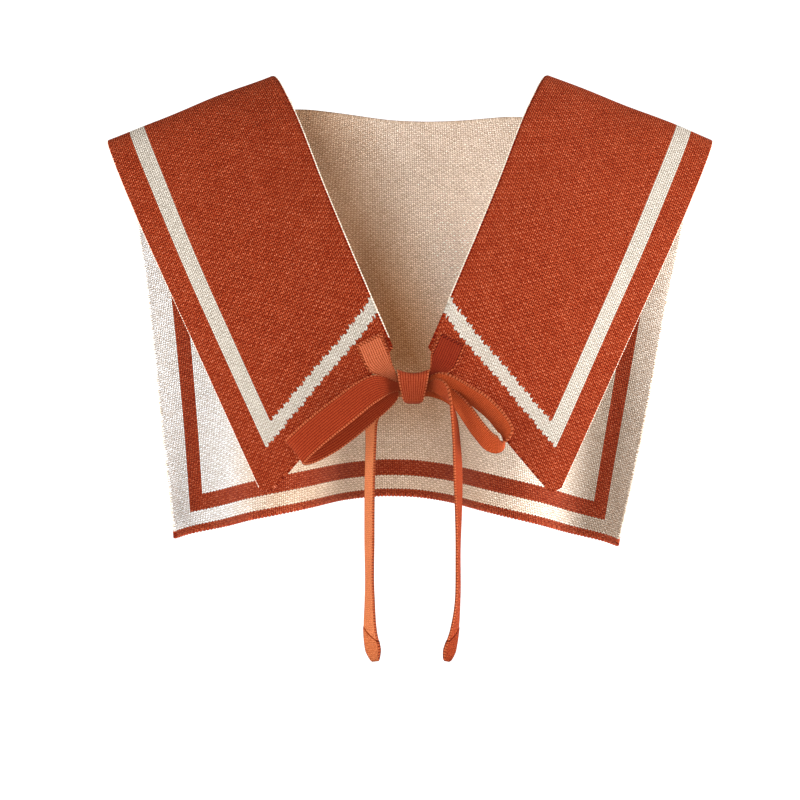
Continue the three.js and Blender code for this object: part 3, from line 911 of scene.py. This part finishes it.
right_tail = table(
    "x y z ax ay az width",
    (0.06, -0.22, 0.004, 0.0, 0.05, -1.0, 0.45),
    (0.129, -0.5, -0.008, -0.2, 0.5, -0.85, 0.6),
    (0.192, -0.62, -0.04, 0.0, 0.9, -0.4, 0.75),
    (0.238, -0.58, -0.095, 0.2, 0.97, -0.1, 0.8),
    (0.273, -0.38, -0.2, 0.28, 0.96, 0.0, 0.8),
    (0.296, 0.0, -0.4, 0.28, 0.96, 0.0, 0.8),
    (0.294, 0.2, -0.6, 0.15, 0.98, 0.0, 0.8),
    (0.29, 0.28, -0.77, 0.18, 0.98, 0.0, 0.8),
    (0.256, 0.32, -0.88, 0.35, 0.9, 0.1, 0.8),
    (0.21, 0.3, -0.95, 0.6, 0.75, 0.3, 0.7),
    (0.181, 0.28, -0.99, 0.65, 0.65, 0.4, 0.3),
)


def through(points, at, ring=False):
    """Places on the smooth curve through points, at from 0 at the first to 1 at the last, or back at
    the first in a ring: the cubic of each stretch, whose slopes at its ends weigh the neighbouring
    chords by the square roots of their lengths."""
    if ring:
        padded = np.vstack((points[-1:], points, points[:2]))
    else:
        padded = np.vstack((2 * points[:1] - points[1:2], points, 2 * points[-1:] - points[-2:-1]))
    stretches = len(padded) - 3
    i = np.clip(np.floor(at * stretches).astype(int), 0, stretches - 1)
    t = (at * stretches - i)[:, None]
    a, b, c, d = (padded[i + k] for k in range(4))
    first, second, third = (
        np.sqrt(np.linalg.norm(q - p, axis=-1, keepdims=True)) for p, q in ((a, b), (b, c), (c, d))
    )
    second = np.where(second < least_chord, 1.0, second)
    first = np.where(first < least_chord, second, first)
    third = np.where(third < least_chord, second, third)
    leave = ((b - a) / first - (c - a) / (first + second) + (c - b) / second) * second
    reach = ((c - b) / second - (d - b) / (second + third) + (d - c) / third) * second
    cubic = (2 * b - 2 * c + leave + reach) * t ** 3 + (3 * c - 3 * b - 2 * leave - reach) * t ** 2
    return b + leave * t + cubic


def evenly(points, step, ring=False):
    """Shares of a curve's run whose places on it are about a step apart."""
    fine = np.linspace(0, 1, curve_steps + 1)
    length = way_along(through(points, fine, ring))
    count = round(length[-1] / step)
    return np.interp(np.linspace(0, length[-1], count + 1), length, fine), length[-1]


def strap_frame(sections, ring=False):
    """Places along a strap's middle, its directions across and out of its face, its width and how
    far along it each place is."""
    places, across, width = sections
    at, length = evenly(places, strap_cell, ring)
    middle = through(places, at, ring)
    after, before = (
        through(places, np.clip(at + shift, 0, 1), ring) for shift in (curve_nudge, -curve_nudge)
    )
    along = unit(after - before)
    across = through(across, at, ring)
    across = unit(across - along * (across * along).sum(-1, keepdims=True))
    wide = through(np.stack((width, width * 0), -1), at, ring)[:, :1]
    run = np.linspace(0, length, len(at))[:, None]
    return middle, across, np.cross(along, across), wide, run


def strap_surface(sections, ring=False, tip=0.0, slant=0.0):
    """A strap's points, faces and knit measures: round it, a flat oval that is thickest along its
    two edges; along it, the frame's places, with its ends closed by rounding down to a line, and
    its tip thickened from a slanted fold on."""
    middle, across, face, wide, run = strap_frame(sections, ring)
    angle = np.linspace(0, 2 * np.pi, strap_turns + 1)[:-1]
    flat = np.sign(np.cos(angle)) * np.abs(np.cos(angle)) ** strap_square
    high = np.sign(np.sin(angle)) * np.abs(np.sin(angle)) ** strap_square
    edge = np.exp(-(((1 - np.abs(flat)) / strap_edge) ** 2))
    high = high * (strap_middle + (1 - strap_middle) * edge)
    end = np.ones_like(run)
    if not ring:
        room = np.minimum(np.minimum(run, run[-1] - run) / end_round, 1)
        end = np.sqrt(np.clip(1 - (1 - room) ** 2, end_least, 1))
    if tip:
        behind = run + flat * slant - run[-1] + tip
        end = end * (1 + fold_gain * smooth_step(behind, -fold_line, fold_line))
    points = middle[:, None, :] + across[:, None, :] * (flat * wide / 2)[..., None]
    points = points + face[:, None, :] * (high * end * strap_thick / 2)[..., None]
    side = np.where(np.sin(angle) >= 0, 1.0, -1.0)
    knit = np.stack(
        np.broadcast_arrays(flat * strap_width / 2 + side * strap_width, run, flat), -1
    ).astype(float)
    if ring:
        points, knit = points[:-1], knit[:-1]
    rows, turns = points.shape[:2]
    index = np.arange(rows * turns).reshape(rows, turns)
    index = np.hstack((index, index[:, :1]))
    if ring:
        quads = cells(np.vstack((index, index[:1])))
    else:
        half = turns // 2
        upper, lower = index[(0, -1), : half + 1], index[(0, -1), -1:half - 1:-1]
        caps = np.stack((upper[:, :-1], upper[:, 1:], lower[:, 1:], lower[:, :-1]), -1)
        quads = np.vstack((cells(index), caps[0], caps[1, :, ::-1]))
    return points.reshape(-1, 3), quads, knit.reshape(-1, 3)


def in_knot(side, layer, slot):
    """A strap's sections in the knot, from near its middle to just past its side: their places,
    directions across and widths. The layer is -1 in front and 1 behind, the slot 1 above."""
    share = np.array(knot_places)
    same = np.ones_like(share)
    offsets = (side * share * knot_width, layer * layer_depth * same, slot * half_slot * same)
    return knot + np.stack(offsets, -1), np.tile(down, (len(share), 1)), gathered * same


def out_of_knot(rows, side, height):
    """A table's sections outside the knot: x a share of the loop's reach from the knot's side, y
    and the width shares of the strap's width and z a share of the height."""
    x = side * (knot_width / 2 + rows["x"] * (loop_reach - knot_width / 2))
    places = knot + np.stack((x, rows["y"] * strap_width, rows["z"] * height), -1)
    across = np.stack((rows["ax"], rows["ay"], rows["az"]), -1)
    return places, across, rows["width"] * strap_width


def joined(*runs):
    """Runs of sections end to end."""
    return [np.concatenate(parts) for parts in zip(*runs)]


def turned(run):
    """A run of sections the other way round."""
    return [part[::-1] for part in run]


def sewn_end(side):
    """A tie's sewn end: flat on the panel's neck corner, off its hem and into the knot."""
    c = (strap_width / 2 + sewn_inset) / panel_width
    v = front_end(np.array(c)) - sewn_inset - np.array(sewn_places) * (sewn_length - sewn_inset)
    across, face = front_directions(v)[1:]
    places = front_point(np.full_like(v, c), v) + face * ((fabric + strap_thick) / 2 + sewn_lift)
    mirror = np.array((side, 1.0, 1.0))
    sewn = (places * mirror, across * mirror, np.full_like(v, strap_width))
    knotted = turned(in_knot(side, 1, 1))
    bend = knotted[0][:1] * (1 - bend_place) + sewn[0][-1:] * bend_place
    leaning = np.array(((bend_lean * side, 0.0, -1.0),))
    return joined(sewn, (bend, leaning, np.full(1, bend_width * strap_width)), knotted)


def knot_wrap():
    """The wrap's sections: a squared oval round the middle of the bow. Its width is the knot's, less
    a share that grows with the way down and one that grows with a power of it."""
    angle = np.arange(knot_sections) / knot_sections * 2 * np.pi
    y, z = np.cos(angle), -np.sin(angle)
    square = np.maximum(np.abs(y), np.abs(z)) ** -knot_square
    deep, high = (knot_depth - strap_thick) / 2, (knot_height - strap_thick) / 2
    places = knot + np.stack((y * 0, y * deep * square, z * high * square), -1)
    lower = (1 - z) / 2
    width = knot_width * (knot_top - knot_taper * lower - knot_point * lower ** knot_point_curve)
    return places, np.tile((1.0, 0.0, 0.0), (len(angle), 1)), width


def dipped(points):
    """The wrap's points with its top lowered in the middle: less the dip times one minus the square
    of the share of the way aside, times the square of the share of the height."""
    aside = np.clip((points[:, 0] - knot[0]) / (knot_width / 2), -1, 1)
    rise = np.clip((points[:, 2] - knot[2]) / (knot_height / 2), 0, 1)
    drop = knot_dip * (1 - aside ** 2) * rise ** 2
    return points + down * drop[:, None]


tie_wale = 1.58
tie_course = 1.25
tie_slant = 0.6
# A lighter rust for the edge chain: a painted highlight on the raised edge stitches.
tie_edge_highlight = (0.54, 0.12, 0.043)
tie_powers = (0.9, 1.5, 2.0)
groove_place = 0.62
groove_shade_loss = 0.55
tie_fibre_across = 2.0
tie_fibre_along = 1.3
tie_fibre_scale = 1.5
tie_fibre_range = 2.5
tie_fibre_low = 0.25
tie_pit_range = 0.8
tie_pit_tone = 0.6
edge_pitch = 1.9
edge_place = 0.88
hole_place = 0.62
hole_shade_loss = 0.65
sewing_pitch = 2.6
sewing_place = 0.8
sewing_end = 2.5
sewing_loss = 0.6
crease_shade_loss = 0.6
tip_loss = 0.15


def tie_knit(name, tie_rust_and_light, sewn_until, folded_from, slant):
    """A tie's knit: fine ribs along the strap with painted shade in the grooves between them and in
    the stitches' pits, and a chain of stitches on each edge, painted lighter as a highlight on the
    raised edge, with a dark hole of painted shade between each two. A sewn part has dark stitches
    round it, a painted shadow lies along the slanted fold, and the tip behind the fold is darker."""
    material, tree = new_material(name)
    across, along, edge = knit_measures(tree)
    _, _, height, fold = stitches(tree, across, along, tie_wale, tie_course, tie_slant)
    # The ribs' grooves, the stitches' pits, the edge chain's holes and the fold's crease are darkened
    # as painted shade.
    groove = 1 - (fold > groove_place) * groove_shade_loss
    place = point_of(tree, across * tie_fibre_across, along * tie_fibre_along, across)
    fibre = noise(tree, place, tie_fibre_scale, detail=1.0) * tie_fibre_range - tie_fibre_low
    on_edge = edge.size() > edge_place
    beads = along / edge_pitch
    holes = (beads - beads.floor() > hole_place) * on_edge
    rim = ((edge.size() > sewing_place) + (sewing_end - along > 0)).clamped()
    dashes = (along + across) / sewing_pitch
    sewn = rim * (sewn_until - along > 0) * (dashes - dashes.floor() > 0.5)
    behind = along + edge * slant - folded_from
    crease = (fold_line - behind.size() > 0) * crease_shade_loss
    pits = height * tie_pit_range + tie_pit_tone
    tone = (groove * (1 - on_edge) + on_edge) * fibre.clamped() * pits
    tone = tone * (1 - holes * hole_shade_loss) * (1 - sewn * sewing_loss)
    tone = tone * (1 - crease) * (1 - (behind > 0) * tip_loss)
    colour = toned(tree, mixed(tree, on_edge, tie_rust_and_light, tie_edge_highlight), tone, tie_powers)
    knit_shader(tree, colour, height * groove, yarn_relief, rust_fuzz)
    return material


def tie(name, node, colour, sections, ring=False, sewn=0.0, tip=0.0, slant=0.0):
    """One strap of the bow as a piece that stands for its node, in a rust of its own that holds painted
    light or shade, sewn over a length at its start and folded over a length at its tip, the fold
    slanted."""
    points, quads, knit = strap_surface(sections, ring, tip, slant)
    if ring:
        points = dipped(points)
    folded_from = knit[:, 1].max() - tip if tip else knit[:, 1].max() * 2
    material = tie_knit(name, colour, sewn, folded_from, slant)
    piece = add_piece(name, points, quads, (material,), knit=knit, replaces=(node,))


# Each tie's colour is the same rust yarn made lighter or darker by painted light and shade: painted
# light on the left tail, the left sewn end and the right loop, painted shade on the right sewn end and
# the left loop.
tie(
    "sewn_end_left",
    "tie_root_left",
    colour=(0.64, 0.16, 0.066),
    sections=sewn_end(-1),
    sewn=sewn_length,
)
tie(
    "sewn_end_right",
    "tie_root_right",
    colour=(0.25, 0.025, 0.0075),
    sections=sewn_end(1),
    sewn=sewn_length,
)
tie(
    "knot_wrap",
    "bow_knot",
    colour=(0.40, 0.062, 0.021),
    sections=knot_wrap(),
    ring=True,
)
tie(
    "loop_left",
    "bow_loop_left",
    colour=(0.37, 0.045, 0.0125),
    sections=joined(
        in_knot(-1, layer=-1, slot=0),
        out_of_knot(left_loop, -1, loop_reach),
        turned(in_knot(-1, layer=0, slot=0)),
    ),
)
tie(
    "loop_right",
    "bow_loop_right",
    colour=(0.62, 0.1, 0.025),
    sections=joined(
        in_knot(1, layer=0, slot=0.8),
        out_of_knot(right_loop, 1, loop_reach),
        turned(in_knot(1, layer=1, slot=-1)),
    ),
)
tie(
    "tail_left",
    "tie_tail_left",
    colour=(0.84, 0.255, 0.095),
    sections=joined(in_knot(-1, layer=1, slot=-1), out_of_knot(left_tail, -1, tail_drop)),
    tip=tip_length,
    slant=-fold_slant,
)
tie(
    "tail_right",
    "tie_tail_right",
    colour=(0.44, 0.064, 0.018),
    sections=joined(in_knot(1, layer=-1, slot=0), out_of_knot(right_tail, 1, tail_drop)),
    tip=tip_length,
    slant=fold_slant,
)

# The camera, level with the middle of the collar, in front of it and a little to the left.
camera_place = (-0.0069, -1.6, -0.223)
camera_data = bpy.data.cameras.new("camera")
camera_data.sensor_width = 36.0
camera_data.lens = 104.346
camera = bpy.data.objects.new("camera", camera_data)
camera.location = camera_place
camera.rotation_euler = Euler((np.pi / 2, 0, 0))
bpy.context.scene.collection.objects.link(camera)
bpy.context.scene.camera = camera

# The light: a white surround that is bright at the collar's level, dim above and below it and seen
# as plain white, and soft lights from both sides, from the front and from behind.
surround_level = 0.2
surround_dim = 0.12
surround_strength = 1.3
world = bpy.data.worlds.new("world")
bpy.context.scene.world = world
world.use_nodes = True
surround = world.node_tree
background = surround.nodes["Background"]
background.inputs["Color"].default_value = (1, 1, 1, 1)
direction = surround.nodes.new("ShaderNodeTexCoord")
parts = surround.nodes.new("ShaderNodeSeparateXYZ")
surround.links.new(direction.outputs["Generated"], parts.inputs[0])
beyond = Term(surround, parts.outputs[2]).size() > surround_level
path = surround.nodes.new("ShaderNodeLightPath")
unseen = 1 - Term(surround, path.outputs["Is Camera Ray"])
strength = (1 - beyond * unseen * (1 - surround_dim)) * surround_strength
surround.links.new(strength.socket, background.inputs["Strength"])
bpy.context.scene.view_settings.view_transform = "Standard"
collar_middle = Vector((0, 0, -0.2))


def soft_light(name, place, size, power):
    """A square area light at a place, facing the collar's middle."""
    data = bpy.data.lights.new(name, "AREA")
    data.size = size
    data.energy = power
    light = bpy.data.objects.new(name, data)
    light.location = place
    light.rotation_euler = (collar_middle - Vector(place)).to_track_quat("-Z", "Y").to_euler()
    bpy.context.scene.collection.objects.link(light)


soft_light("left_light", (-1.7, -0.15, -0.1), size=0.8, power=15)
soft_light("right_light", (1.7, -0.2, 0.0), size=0.8, power=52)
soft_light("front_left_light", (-1.3, -1.5, 0.3), size=1.2, power=26)
soft_light("front_light", (0.0, -1.9, -0.2), size=1.0, power=13)
soft_light("back_light", (0.6, 1.9, 0.1), size=1.2, power=24)

# The floor: a plain pale matt square well below the collar.
floor_reach = 3.0
floor_level = -1.2
floor_corners = ((-1, -1), (1, -1), (1, 1), (-1, 1))
floor_material, floor_tree = new_material("floor")
floor_shader = floor_tree.nodes["Principled BSDF"]
floor_shader.inputs["Base Color"].default_value = (0.95, 0.95, 0.95, 1)
floor_shader.inputs["Roughness"].default_value = 0.9
floor_points = [(x * floor_reach, y * floor_reach, floor_level) for x, y in floor_corners]
floor_mesh = bpy.data.meshes.new("floor")
floor_mesh.from_pydata(floor_points, [], [(0, 1, 2, 3)])
floor_mesh.materials.append(floor_material)
floor = bpy.data.objects.new("floor", floor_mesh)
bpy.context.scene.collection.objects.link(floor)
